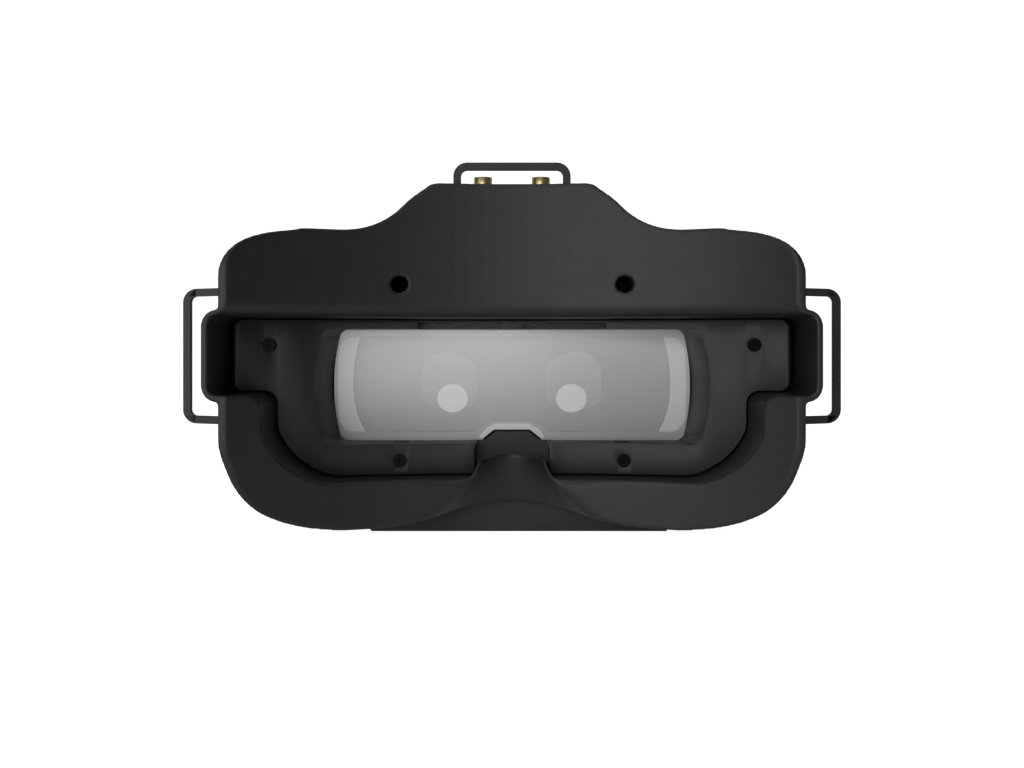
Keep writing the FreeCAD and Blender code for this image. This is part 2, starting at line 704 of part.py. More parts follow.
def lens_rectangle():
    return rounded_rect(-LENS_X, LENS_X, WINDOW_BOTTOM_Z - LENS_OVERLAP,
                        WINDOW_TOP_Z + LENS_OVERLAP, 5.0)


def lens():
    """One moulding with both eye lenses, notched over the nose."""
    front = LENS_Y + LENS_T
    notch = polygon_xz([(-10.4, 20), (10.4, 20), (10.4, 32.9), (6.4, 36.2),
                        (-6.4, 36.2), (-10.4, 32.9)])
    body = prism_y(window_outline(LENS_X), LENS_Y, front)
    body = body.fuse(prism_y(lens_rectangle(), LENS_Y, front))
    return body.cut(prism_y(notch, LENS_Y - 1, front + 1)).removeSplitter()


def lens_gasket():
    y0 = LENS_Y + LENS_T + 0.05
    y1 = CHASSIS_Y - 0.05
    hole = rounded_rect(-63.8, 63.8, WINDOW_BOTTOM_Z + 5.0, WINDOW_TOP_Z - 1.0, 4.0)
    return prism_y(lens_rectangle(), y0, y1).cut(prism_y(hole, y0 - 1, y1 + 1))


LCD_POSTS = [(-58.5, 20.0), (58.5, 20.0), (-46.0, 89.5), (46.0, 89.5)]
LCD_W = 105.4              # 4.3 inch screen
LCD_H = 67.2
LCD_Y = 82.2
BRACKET_Y = 86.4
BOARD_Y = 90.0
BOARD_HOLES = [(-44.0, 28.0), (44.0, 28.0), (-44.0, 76.0), (44.0, 76.0)]


def chassis():
    """Inner frame across the body: it carries the surround, lens, light path, fan and board."""
    outline = body_outline(NECK_X - 4.4, hump_z=HUMP_DECK_Z - 5.2, shoulder_z=FRONT_TOP_Z - 3.6,
                           cheek_z=CHEEK_Z + 9.6, arch=0.0)
    sheet = prism_y(outline, CHASSIS_Y, CHASSIS_Y + CHASSIS_T)
    window = rounded_rect(-63.8, 63.8, WINDOW_BOTTOM_Z + 2, WINDOW_TOP_Z - 1.0, 4.0)
    window = prism_y(window, 50.0, 80.0)
    bosses = []
    for x, z in PLATE_SCREWS:
        seat = plate_depth(abs(x) - 2.9) + 1.08 * PLATE_T + 0.1
        bosses.append(cyl_y(x, z, 2.2, seat, CHASSIS_Y + 1.0))
    for x, z in LCD_POSTS:
        bosses.append(cyl_y(x, z, 2.6, CHASSIS_Y + 1.0, BRACKET_Y))
    frame = sheet.cut(window).fuse(bosses)
    cuts = []
    for x, z in PLATE_SCREWS:
        cuts.append(cyl_y(x, z, 1.15, 20.0, CHASSIS_Y + 1.0))
    for x, z in LCD_POSTS:
        cuts.append(cyl_y(x, z, 1.05, BRACKET_Y - 8.0, BRACKET_Y + 1.0))
    cuts.append(cyl_y(0.0, FAN_Z, FAN_SIZE / 2 - 1.0, 50.0, 80.0))
    for x in (-WELL_X, WELL_X):
        cuts.append(cyl_y(x, WELL_Z, 4.0, 50.0, 80.0))
    return frame.cut(cuts).removeSplitter()


def light_tunnel():
    """Black funnel that keeps stray light off the path from the screen to the lens."""
    rear = rounded_rect(-66.0, 66.0, 30.6, 73.0, 4.0)
    front = rounded_rect(-50.5, 50.5, 23.4, 81.0, 3.0)
    outer = loft([at_depth(rear, CHASSIS_Y + CHASSIS_T + 0.1), at_depth(front, LCD_Y - 0.1)])
    rear_in = rounded_rect(-64.4, 64.4, 32.2, 71.4, 3.0)
    front_in = rounded_rect(-48.9, 48.9, 25.0, 79.4, 2.0)
    inner = loft([at_depth(rear_in, CHASSIS_Y + CHASSIS_T + 0.1), at_depth(front_in, LCD_Y - 0.1)])
    return outer.cut(inner)


def lcd_panel():
    z = WINDOW_MID_Z
    return box(-LCD_W / 2, LCD_W / 2, LCD_Y, LCD_Y + 1.4, z - LCD_H / 2, z + LCD_H / 2)


def backlight():
    z = WINDOW_MID_Z
    half_x = LCD_W / 2 - 0.3
    half_z = LCD_H / 2 - 0.3
    return box(-half_x, half_x, LCD_Y + 1.5, LCD_Y + 3.9, z - half_z, z + half_z)


def display_bracket():
    """Pressed steel sheet behind the screen, with an ear at each corner."""
    z = WINDOW_MID_Z
    sheet = box(-50, 50, BRACKET_Y, BRACKET_Y + 0.8, z - 30, z + 30)
    ears = []
    for x, pz in LCD_POSTS:
        x0, x1 = sorted((0.8 * x, 1.07 * x))
        z0, z1 = sorted((z + 0.75 * (pz - z), z + 1.1 * (pz - z)))
        ears.append(box(x0, x1, BRACKET_Y, BRACKET_Y + 0.8, z0, z1))
    holes = [cyl_y(x, pz, 1.2, BRACKET_Y - 1, BRACKET_Y + 2) for x, pz in LCD_POSTS]
    studs = [cyl_y(x, pz, 2.0, BRACKET_Y + 0.8, BOARD_Y - 0.05) for x, pz in BOARD_HOLES]
    return fuse([sheet] + ears + studs).cut(holes)


def bracket_screws():
    screws = []
    for x, z in LCD_POSTS:
        head = cyl_y(x, z, 1.9, BRACKET_Y + 0.85, BRACKET_Y + 2.2)
        shank = cyl_y(x, z, 1.0, BRACKET_Y - 6.0, BRACKET_Y + 0.85)
        screws.append(head.fuse(shank))
    return Part.Compound(screws)


def main_board():
    wide = box(-70.0, 70.0, BOARD_Y, BOARD_Y + 1.6, 28.0, 70.0)
    middle = box(-50.0, 50.0, BOARD_Y, BOARD_Y + 1.6, 24.0, 80.0)
    holes = [cyl_y(x, z, 1.1, BOARD_Y - 1, BOARD_Y + 3) for x, z in BOARD_HOLES]
    return fuse([wide, middle]).cut(holes)


def board_chips():
    y0 = BOARD_Y + 1.65
    spots = [(-34, 60, 9, 9, 1.2), (-34, 42, 7, 10, 1.0), (30, 58, 8, 8, 1.1),
             (33, 40, 6, 5, 1.4), (12, 66, 5, 4, 1.8), (-12, 66, 5, 4, 1.8)]
    chips = []
    for x, z, wide, high, thick in spots:
        chips.append(box(x - wide / 2, x + wide / 2, y0, y0 + thick, z - high / 2, z + high / 2))
    return Part.Compound(chips)


def heatsink():
    y0 = BOARD_Y + 1.65
    base = box(-12, 12, y0, y0 + 1.2, 38, 58)
    starts = [-12 + 3.8 * i for i in range(7)]
    fins = [box(x, x + 1.2, y0 + 1.2, y0 + 4.6, 38, 58) for x in starts]
    return fuse([base] + fins)


def port(name):
    """A socket soldered to the board, with its mouth in the side wall."""
    side, y, z, wide, high, is_round = PORTS[name]
    mouth = side_wall_x(y) - 0.4
    if name == "power_inlet":
        collar = cyl_x(y, z, 4.3, mouth - 6, mouth)
        block = box(mouth - 12, mouth - 3.6, y - 4.6, y + 3.9, z - 5, z + 5)
        hole = cyl_x(y, z, 2.75, mouth - 10, mouth + 1)
        centre_pin = cyl_x(y, z, 1.05, mouth - 11, mouth - 1)
        body = fuse([collar, block]).cut(hole).fuse(centre_pin)
    elif is_round:
        collar = cyl_x(y, z, 3.2, mouth - 6, mouth)
        block = box(mouth - 12, mouth - 3.6, y - 3.6, y + 3.9, z - 3.6, z + 3.6)
        body = fuse([collar, block]).cut(cyl_x(y, z, 1.775, mouth - 11, mouth + 1))
    elif name == "hdmi_port":
        body = box(mouth - 9.5, mouth, y - 5.6, y + 3.9, z - 1.7, z + 1.7)
        body = body.cut(box(mouth - 7, mouth + 1, y - 5.1, y + 3.4, z - 1.2, z + 1.2))
        body = body.fuse(box(mouth - 8, mouth - 1.5, y - 3.9, y + 2.2, z - 0.3, z + 0.3))
    else:
        body = box(mouth - 12, mouth, y - 6.0, y + 3.9, z - 1.1, z + 1.1)
        body = body.cut(box(mouth - 11, mouth + 1, y - 5.6, y + 3.4, z - 0.6, z + 0.6))
    return body if side > 0 else mirror_x(body)


# ---- receiver and antenna jacks -----------------------------------------------------------
RX_Z = 104.0               # underside of the receiver board
NUT_R = 4.5                # over the corners of the jacks' nuts


def receiver_board():
    return box(-26, 26, 44.0, 60.5, RX_Z, RX_Z + 1.6)


def shield_cans():
    cans = []
    for side in (-1, 1):
        x = side * 13.0
        can = box(x - 10, x + 10, 45.5, 59.5, RX_Z - 3.2, RX_Z - 0.05)
        cans.append(can.cut(box(x - 9.7, x + 9.7, 45.8, 59.2, RX_Z - 2.9, RX_Z + 1)))
    return Part.Compound(cans)


def antenna_jacks():
    jacks = []
    for x in (-JACK_X, JACK_X):
        neck = cyl_z(x, JACK_Y, JACK_NECK_R, RX_Z + 4.0, JACK_TOP_Z - 1.0)
        barrel = cyl_z(x, JACK_Y, JACK_R, JACK_TOP_Z - JACK_FREE, JACK_TOP_Z).fuse(neck)
        block = box(x - 3.2, x + 3.2, JACK_Y - 3.2, JACK_Y + 3.2, RX_Z + 1.65, HUMP_DECK_Z - WALL - 0.1)
        cup = cyl_z(x, JACK_Y, 2.3, JACK_TOP_Z - 1.9, JACK_TOP_Z + 1)
        contact_hole = cyl_z(x, JACK_Y, 0.5, JACK_TOP_Z - 4.5, JACK_TOP_Z)
        jacks.append(barrel.fuse(block).cut([cup, contact_hole]))
    return Part.Compound(jacks)


def antenna_washers():
    rings = []
    for x in (-JACK_X, JACK_X):
        ring = cyl_z(x, JACK_Y, 4.4, HUMP_DECK_Z + 0.02, HUMP_DECK_Z + 0.62)
        rings.append(ring.cut(cyl_z(x, JACK_Y, JACK_R + 0.1, HUMP_DECK_Z - 1, HUMP_DECK_Z + 2)))
    return Part.Compound(rings)


def antenna_nuts():
    nuts = []
    for x in (-JACK_X, JACK_X):
        corners = []
        for i in range(7):
            angle = math.radians(60 * i + 30)
            corners.append(V(x + NUT_R * math.cos(angle), JACK_Y + NUT_R * math.sin(angle),
                             HUMP_DECK_Z + 0.65))
        nut = Part.Face(Part.makePolygon(corners)).extrude(V(0, 0, 2.2))
        bore = cyl_z(x, JACK_Y, JACK_NECK_R + 0.05, HUMP_DECK_Z - 1, HUMP_DECK_Z + 6)
        nuts.append(nut.cut(bore))
    return Part.Compound(nuts)


# ---- fan ----------------------------------------------------------------------------------
FAN_HUB_R = 6.0
FAN_BLADE_R = 10.6
FAN_BLADES = 7
FAN_HOLE = 10.2            # mounting holes from the middle of the fan


def fan_frame():
    half = FAN_SIZE / 2
    body = prism_y(rounded_rect(-half, half, FAN_Z - half, FAN_Z + half, 2.0), FAN_Y, FAN_Y + FAN_T)
    body = body.cut(cyl_y(0, FAN_Z, 11.3, FAN_Y - 1, FAN_Y + FAN_T + 1))
    spokes = [box(-11.6, 11.6, FAN_Y + FAN_T - 1.0, FAN_Y + FAN_T, FAN_Z - 0.7, FAN_Z + 0.7),
              box(-0.7, 0.7, FAN_Y + FAN_T - 1.0, FAN_Y + FAN_T, FAN_Z - 11.6, FAN_Z + 11.6)]
    disc = cyl_y(0, FAN_Z, 5.6, FAN_Y + FAN_T - 1.0, FAN_Y + FAN_T)
    sleeve = cyl_y(0, FAN_Z, 1.9, FAN_Y + 2.6, FAN_Y + FAN_T - 1.0)
    body = fuse([body, disc, sleeve] + spokes)
    holes = [cyl_y(0, FAN_Z, 0.8, FAN_Y, FAN_Y + FAN_T + 1)]
    for z in (FAN_Z - FAN_HOLE, FAN_Z + FAN_HOLE):
        holes += both_sides(cyl_y(FAN_HOLE, z, 1.3, FAN_Y - 1, FAN_Y + FAN_T + 1))
    return body.cut(holes)


def fan_rotor():
    hub = cyl_y(0, FAN_Z, FAN_HUB_R, FAN_Y + 0.4, FAN_Y + 5.4)
    hub = hub.cut(cyl_y(0, FAN_Z, 4.9, FAN_Y + 1.4, FAN_Y + 6))
    shaft = cyl_y(0, FAN_Z, 0.75, FAN_Y + 1.0, FAN_Y + FAN_T - 0.2)
    blade = box(FAN_HUB_R - 0.5, FAN_BLADE_R, FAN_Y + 2.6, FAN_Y + 3.4, FAN_Z - 3.0, FAN_Z + 3.0)
    blade.rotate(V(0, FAN_Y + 3.0, FAN_Z), X_AXIS, 32)
    blades = []
    for i in range(FAN_BLADES):
        one = blade.copy()
        one.rotate(V(0, 0, FAN_Z), Y_AXIS, 360.0 * i / FAN_BLADES)
        blades.append(one)
    ring = cyl_y(0, FAN_Z, FAN_BLADE_R + 0.2, FAN_Y + 0.4, FAN_Y + 5.4)
    rotor = fuse([hub, shaft] + blades).common(ring.fuse(shaft))
    return rotor


def fan_screws():
    screws = []
    for sx, sz in ((-1, 1), (1, -1)):
        x = sx * FAN_HOLE
        z = FAN_Z + sz * FAN_HOLE
        head = cyl_y(x, z, 2.0, FAN_Y + FAN_T + 0.05, FAN_Y + FAN_T + 1.2)
        shank = cyl_y(x, z, 1.0, CHASSIS_Y + CHASSIS_T + 0.1, FAN_Y + FAN_T + 0.05)
        screws.append(head.fuse(shank))
    return Part.Compound(screws)


# ---- controls -----------------------------------------------------------------------------
def deck_height(y):
    """Top of the shoulders at a depth in front of the parting line."""
    return SHOULDER_Z - (SHOULDER_Z - FRONT_TOP_Z) * (y - PARTING_Y) / (DEPTH - 6 - PARTING_Y)


def push_button(x, y):
    top = deck_height(y) + 0.9
    cap = cyl_z(x, y, BUTTON_R, top - 4.8, top)
    rim = [edge for edge in cap.Edges if edge.BoundBox.ZMin > top - 0.01]
    cap = cap.makeFillet(0.5, rim)
    flange = cyl_z(x, y, BUTTON_R + 0.7, top - 6.2, top - 5.4)
    neck = cyl_z(x, y, BUTTON_R - 0.6, top - 5.5, top - 4.7)
    stem = cyl_z(x, y, 1.2, top - 7.6, top - 6.1)
    return fuse([cap, neck, flange, stem])


def button_board():
    z = deck_height(WHEEL_Y) - 9.6
    return box(-70, -41.5, 68.0, 80.0, z, z + 1.2)


def key_switches():
    z = deck_height(WHEEL_Y) - 8.35
    switches = []
    for x, y in BUTTONS.values():
        body = box(x - 2.2, x + 2.2, y - 2.2, y + 2.2, z, z + 1.0)
        plunger = cyl_z(x, y, 1.0, z + 0.9, z + 1.25)
        switches.append(fuse([body, plunger]))
    return Part.Compound(switches)


def jog_wheel():
    """Thumb wheel with a grooved edge, which turns on the carrier's axle."""
    wheel = cyl_x(WHEEL_Y, WHEEL_Z, WHEEL_R, WHEEL_X - WHEEL_W / 2, WHEEL_X + WHEEL_W / 2)
    grooves = []
    for i in range(WHEEL_GROOVES):
        angle = 2 * math.pi * i / WHEEL_GROOVES
        y = WHEEL_Y + (WHEEL_R + 0.3) * math.cos(angle)
        z = WHEEL_Z + (WHEEL_R + 0.3) * math.sin(angle)
        grooves.append(cyl_x(y, z, 0.6, WHEEL_X - WHEEL_W, WHEEL_X + WHEEL_W))
    bore = cyl_x(WHEEL_Y, WHEEL_Z, AXLE_R + 0.05, WHEEL_X - WHEEL_W, WHEEL_X + WHEEL_W)
    return wheel.cut(grooves).cut(bore)


def jog_carrier():
    """Encoder rocker: a fork round the wheel with the wheel's axle."""
    x0 = WHEEL_X - WHEEL_W / 2 - 2.0
    x1 = WHEEL_X + WHEEL_W / 2 + 2.0
    cheeks = [box(x0, x0 + 1.6, WHEEL_Y - 3, WHEEL_Y + 3, 84.6, WHEEL_Z + 3),
              box(x1 - 1.6, x1, WHEEL_Y - 3, WHEEL_Y + 3, 84.6, WHEEL_Z + 3)]
    base = box(x0, x1, WHEEL_Y - 3, WHEEL_Y + 3, 84.6, 86.4)
    axle = cyl_x(WHEEL_Y, WHEEL_Z, AXLE_R, x0, x1)
    return fuse(cheeks + [base, axle])


def jog_board():
    plate = box(WHEEL_X - 9, WHEEL_X + 12, 68.0, 80.0, 80.6, 81.8)
    switch = box(WHEEL_X - 2.2, WHEEL_X + 2.2, WHEEL_Y - 2.2, WHEEL_Y + 2.2, 81.8, 83.7)
    return plate.fuse(switch)


# ---- strap loops --------------------------------------------------------------------------
def bail_outline(x_in, x_out, low, high, r):
    """A bail's outline: open end at x_in, round corners at x_out.

    low and high give the height of the lower and the upper arm at x_in and at the corner.
    """
    k = r * (1 - math.sqrt(0.5))
    z0 = low[1]
    z1 = high[1]
    return Part.Wire([
        line((x_in, low[0]), (x_out - r, z0)),
        arc((x_out - r, z0), (x_out - k, z0 + k), (x_out, z0 + r)),
        line((x_out, z0 + r), (x_out, z1 - r)),
        arc((x_out, z1 - r), (x_out - k, z1 - k), (x_out - r, z1)),
        line((x_out - r, z1), (x_in, high[0])),
        line((x_in, high[0]), (x_in, low[0])),
    ])


def side_loop():
    """A rectangular bail with two eyes, standing straight out to the right."""
    y0 = SIDE_PIVOT_Y - LOOP_T / 2
    y1 = SIDE_PIVOT_Y + LOOP_T / 2
    outer = bail_outline(SIDE_PIVOT_X, SIDE_LOOP_X, (39.3, 39.9), (85.9, 85.4), LOOP_ROUND)
    inner = bail_outline(SIDE_PIVOT_X - 10, SIDE_LOOP_X - LOOP_BAR, (41.8, 42.5), (83.4, 82.8),
                         LOOP_ROUND - LOOP_BAR)
    ring = prism_y(outer, y0, y1).cut(prism_y(inner, y0 - 1, y1 + 1))
    eyes = []
    bores = []
    for z0, z1 in SIDE_EYES:
        eyes.append(cyl_z(SIDE_PIVOT_X, SIDE_PIVOT_Y, EYE_R, z0, z1))
        bores.append(cyl_z(SIDE_PIVOT_X, SIDE_PIVOT_Y, PIN_R + FIT, z0 - 1, z1 + 1))
    clear = [cyl_z(SIDE_PIVOT_X, SIDE_PIVOT_Y, EYE_R + LUG_GAP, z0 - LUG_GAP, z1 + LUG_GAP)
             for z0, z1 in SIDE_LUGS]
    return fuse([ring] + eyes).cut(clear + bores)


def side_pins():
    spans = [(79.3, 89.3), (36.1, 46.1)]
    return Part.Compound([cyl_z(SIDE_PIVOT_X, SIDE_PIVOT_Y, PIN_R, z0, z1) for z0, z1 in spans])


def top_loop():
    """The bail over the hump, with an eye at the foot of each arm."""
    y0 = TOP_PIVOT_Y - LOOP_T / 2
    y1 = TOP_PIVOT_Y + LOOP_T / 2
    inner_x = TOP_LOOP_X - LOOP_BAR
    outline = rounded_rect(-TOP_LOOP_X, TOP_LOOP_X, TOP_PIVOT_Z - 12, TOP_LOOP_Z, LOOP_ROUND)
    inner = rounded_rect(-inner_x, inner_x, TOP_PIVOT_Z - 20, TOP_LOOP_Z - LOOP_BAR,
                         LOOP_ROUND - LOOP_BAR)
    ring = prism_y(outline, y0, y1).cut(prism_y(inner, y0 - 1, y1 + 1))
    ring = ring.cut(box(-50, 50, 0, 99, 0, TOP_PIVOT_Z))
    eye = cyl_x(TOP_PIVOT_Y, TOP_PIVOT_Z, EYE_R, TOP_EYE_X[0], TOP_EYE_X[1])
    bore = cyl_x(TOP_PIVOT_Y, TOP_PIVOT_Z, PIN_R + FIT, 10, 30)
    return fuse([ring] + both_sides(eye)).cut(both_sides(bore))


def top_pins():
    return Part.Compound(both_sides(cyl_x(TOP_PIVOT_Y, TOP_PIVOT_Z, PIN_R, 14.3, 23.2)))


def housing_screws():
    screws = []
    for x in (-WELL_X, WELL_X):
        head = cyl_y(x, WELL_Z, 2.6, WELL_FLOOR_Y - 2.0, WELL_FLOOR_Y - 0.02)
        shank = cyl_y(x, WELL_Z, 1.2, WELL_FLOOR_Y - 0.5, SCREW_BOSS_Y - 3)
        screws.append(head.fuse(shank))
    return Part.Compound(screws)


# ---- assembly -----------------------------------------------------------------------------
def build():
    right_loop = side_loop()
    right_pins = side_pins()
    parts = {
        "rear_shell": rear_shell(),
        "front_shell": front_shell(),
        "front_panel": front_panel(),
        "light_pipe": light_pipe(),
        "lens_surround": lens_surround(),
        "surround_screws": surround_screws(),
        "lens": lens(),
        "lens_gasket": lens_gasket(),
        "chassis": chassis(),
        "light_tunnel": light_tunnel(),
        "lcd_panel": lcd_panel(),
        "backlight": backlight(),
        "display_bracket": display_bracket(),
        "bracket_screws": bracket_screws(),
        "main_board": main_board(),
        "board_chips": board_chips(),
        "heatsink": heatsink(),
        "receiver_board": receiver_board(),
        "shield_cans": shield_cans(),
        "antenna_jacks": antenna_jacks(),
        "antenna_washers": antenna_washers(),
        "antenna_nuts": antenna_nuts(),
        "fan_frame": fan_frame(),
        "fan_rotor": fan_rotor(),
        "fan_screws": fan_screws(),
        "button_board": button_board(),
        "key_switches": key_switches(),
        "jog_board": jog_board(),
        "jog_carrier": jog_carrier(),
        "jog_wheel": jog_wheel(),
        "housing_screws": housing_screws(),
        "strap_loop_right": right_loop,
        "strap_loop_left": mirror_x(right_loop),
        "strap_loop_top": top_loop(),
        "loop_pins_right": right_pins,
        "loop_pins_left": mirror_x(right_pins),
        "loop_pins_top": top_pins(),
    }
    for name in PORTS:
        parts[name] = port(name)
    for name, (x, y) in BUTTONS.items():
        parts[name] = push_button(x, y)
    return parts


def main():
    os.makedirs("parts", exist_ok=True)
    for name, shape in build().items():
        placed = shape.copy()
        placed.translate(V(0, -DEPTH / 2, 0))
        placed.exportStep("parts/" + name + ".step")
        print(name, "solids", len(placed.Solids), "valid", placed.isValid(), "volume", round(placed.Volume))


main()
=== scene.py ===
import math

import bmesh
import bpy
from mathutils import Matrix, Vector


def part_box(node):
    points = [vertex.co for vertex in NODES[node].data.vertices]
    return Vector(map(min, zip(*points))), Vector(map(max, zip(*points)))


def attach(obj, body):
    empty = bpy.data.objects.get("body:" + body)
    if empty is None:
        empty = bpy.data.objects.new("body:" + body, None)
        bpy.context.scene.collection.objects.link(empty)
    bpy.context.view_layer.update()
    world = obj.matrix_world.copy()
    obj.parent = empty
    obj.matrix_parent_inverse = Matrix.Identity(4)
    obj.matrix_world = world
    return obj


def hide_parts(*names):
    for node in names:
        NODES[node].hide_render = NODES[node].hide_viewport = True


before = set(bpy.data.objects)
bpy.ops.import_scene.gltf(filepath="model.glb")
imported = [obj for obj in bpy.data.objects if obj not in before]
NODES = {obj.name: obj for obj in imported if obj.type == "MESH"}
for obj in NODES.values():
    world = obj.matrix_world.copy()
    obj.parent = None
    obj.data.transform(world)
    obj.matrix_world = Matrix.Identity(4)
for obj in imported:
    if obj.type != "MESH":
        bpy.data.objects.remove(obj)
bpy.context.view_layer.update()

MM = 0.001
SCENE = bpy.context.scene


# ---- camera ---------------------------------------------------------------------------------
SENSOR = 36.0
FOCAL_LENGTH = 42.1875
VIEW_DISTANCE = 0.420          # from the middle of the depth to the camera
AXIS_HEIGHT = 0.0664           # height of the level line of sight
SHIFT_UP = -0.0381


def make_camera():
    data = bpy.data.cameras.new("camera")
    data.sensor_width = SENSOR
    data.lens = FOCAL_LENGTH
    data.shift_y = SHIFT_UP
    data.clip_start = 0.01
    data.clip_end = 20.0
    camera = bpy.data.objects.new("camera", data)
    camera.location = (0.0, -VIEW_DISTANCE, AXIS_HEIGHT)
    camera.rotation_euler = (math.radians(90.0), 0.0, 0.0)
    SCENE.collection.objects.link(camera)
    SCENE.camera = camera


# ---- materials ------------------------------------------------------------------------------
PLASTIC_IOR = 1.5
MOULD_GRAIN = 2600.0           # scale of the spark-eroded texture


class Surface:
    """A node material with object coordinates and the usual sockets of its shader."""

    def __init__(self, name, color, rough, metal=0.0, specular=0.5, coat=0.0):
        self.material = bpy.data.materials.new(name)
        self.material.use_nodes = True
        self.tree = self.material.node_tree
        self.tree.nodes.clear()
        self.out = self.add("ShaderNodeOutputMaterial")
        self.shader = self.add("ShaderNodeBsdfPrincipled")
        self.link(self.shader.outputs["BSDF"], self.out.inputs["Surface"])
        self.set("Base Color", (*color, 1.0))
        self.set("Roughness", rough)
        self.set("Metallic", metal)
        self.set("IOR", PLASTIC_IOR)
        self.set("Specular IOR Level", specular)
        self.set("Coat Weight", coat)
        self.place = self.add("ShaderNodeTexCoord").outputs["Object"]
        self.color = color
        self.rough = rough
        self.height = None

    def add(self, kind):
        return self.tree.nodes.new(kind)

    def link(self, a, b):
        self.tree.links.new(a, b)

    def set(self, socket, value):
        self.shader.inputs[socket].default_value = value

    def noise(self, scale, detail, stretch=None):
        """Noise in object space, drawn out along the axes with the smaller stretch."""
        node = self.add("ShaderNodeTexNoise")
        node.inputs["Scale"].default_value = scale
        node.inputs["Detail"].default_value = detail
        node.inputs["Roughness"].default_value = 0.5
        place = self.place
        if stretch:
            mapping = self.add("ShaderNodeMapping")
            mapping.inputs["Scale"].default_value = stretch
            self.link(place, mapping.inputs["Vector"])
            place = mapping.outputs["Vector"]
        self.link(place, node.inputs["Vector"])
        return node.outputs["Fac"]

    def ramp(self, fac, stops):
        """A colour for each value: stops are pairs of a place and a tint."""
        node = self.add("ShaderNodeValToRGB")
        ramp = node.color_ramp
        while len(ramp.elements) < len(stops):
            ramp.elements.new(0.5)
        for element, (at, tint) in zip(ramp.elements, stops):
            element.position = at
            element.color = (*tint, 1.0)
        self.link(fac, node.inputs["Fac"])
        return node.outputs["Color"]

    def span(self, fac, low, high, start=0.0, end=1.0):
        """Maps start..end to low..high."""
        node = self.add("ShaderNodeMapRange")
        node.inputs["From Min"].default_value = start
        node.inputs["From Max"].default_value = end
        node.inputs["To Min"].default_value = low
        node.inputs["To Max"].default_value = high
        self.link(fac, node.inputs["Value"])
        return node.outputs["Result"]

    def mottle(self, fac, change):
        """Varies the colour by a share of itself."""
        dark = tuple(c * (1.0 - change) for c in self.color)
        light = tuple(min(1.0, c * (1.0 + change)) for c in self.color)
        tint = self.ramp(fac, [(0.25, dark), (0.75, light)])
        self.link(tint, self.shader.inputs["Base Color"])

    def vary_rough(self, fac, change):
        rough = self.span(fac, self.rough - change, self.rough + change)
        self.link(rough, self.shader.inputs["Roughness"])

    def bump(self, fac, depth_mm):
        """Adds relief on top of the relief that is there already."""
        node = self.add("ShaderNodeBump")
        node.inputs["Strength"].default_value = 1.0
        node.inputs["Distance"].default_value = depth_mm * MM
        self.link(fac, node.inputs["Height"])
        if self.height:
            self.link(self.height, node.inputs["Normal"])
        self.height = node.outputs["Normal"]
        self.link(self.height, self.shader.inputs["Normal"])


def moulded(name, color, rough, grain):
    """Moulded plastic with a fine spark-eroded texture and slight flow marks."""
    s = Surface(name, color, rough)
    fine = s.noise(MOULD_GRAIN, 3.0)
    s.mottle(s.noise(55.0, 4.0), 0.12)
    s.vary_rough(s.noise(140.0, 3.0), 0.04)
    s.bump(s.noise(MOULD_GRAIN * 0.33, 2.0), grain * 0.6)
    s.bump(fine, grain)
    return s.material


def metal(name, color, rough, brush=None):
    """Plated or turned metal, with fine lines along its length where it is brushed."""
    s = Surface(name, color, rough, metal=1.0)
    lines = s.noise(900.0, 3.0, stretch=brush)
    s.mottle(s.noise(320.0, 3.0), 0.10)
    s.vary_rough(lines, 0.10)
    s.bump(lines, 0.01)
    return s.material


def rubber(name, color, rough):
    """Matte rubber with a coarse, slightly uneven skin."""
    s = Surface(name, color, rough, specular=0.35)
    s.mottle(s.noise(260.0, 4.0), 0.18)
    s.vary_rough(s.noise(900.0, 2.0), 0.05)
    s.bump(s.noise(1500.0, 4.0), 0.04)
    return s.material


def gloss(name, color, rough):
    """Smooth, lacquered or transparent-looking plastic."""
    s = Surface(name, color, rough, coat=0.3)
    s.set("Coat Roughness", 0.05)
    s.mottle(s.noise(40.0, 3.0), 0.06)
    s.vary_rough(s.noise(700.0, 3.0), 0.03)
    s.bump(s.noise(90.0, 2.0), 0.01)
    return s.material


def circuit(name):
    """Solder mask over copper tracks."""
    s = Surface(name, (0.02, 0.09, 0.045), 0.35)
    bricks = s.add("ShaderNodeTexBrick")
    bricks.inputs["Scale"].default_value = 420.0
    bricks.inputs["Mortar Size"].default_value = 0.03
    bricks.inputs["Color1"].default_value = (0.02, 0.10, 0.05, 1.0)
    bricks.inputs["Color2"].default_value = (0.015, 0.07, 0.035, 1.0)
    bricks.inputs["Mortar"].default_value = (0.05, 0.17, 0.08, 1.0)
    s.link(s.place, bricks.inputs["Vector"])
    s.link(bricks.outputs["Color"], s.shader.inputs["Base Color"])
    s.vary_rough(s.noise(300.0, 3.0), 0.06)
    s.bump(bricks.outputs["Fac"], 0.02)
    return s.material


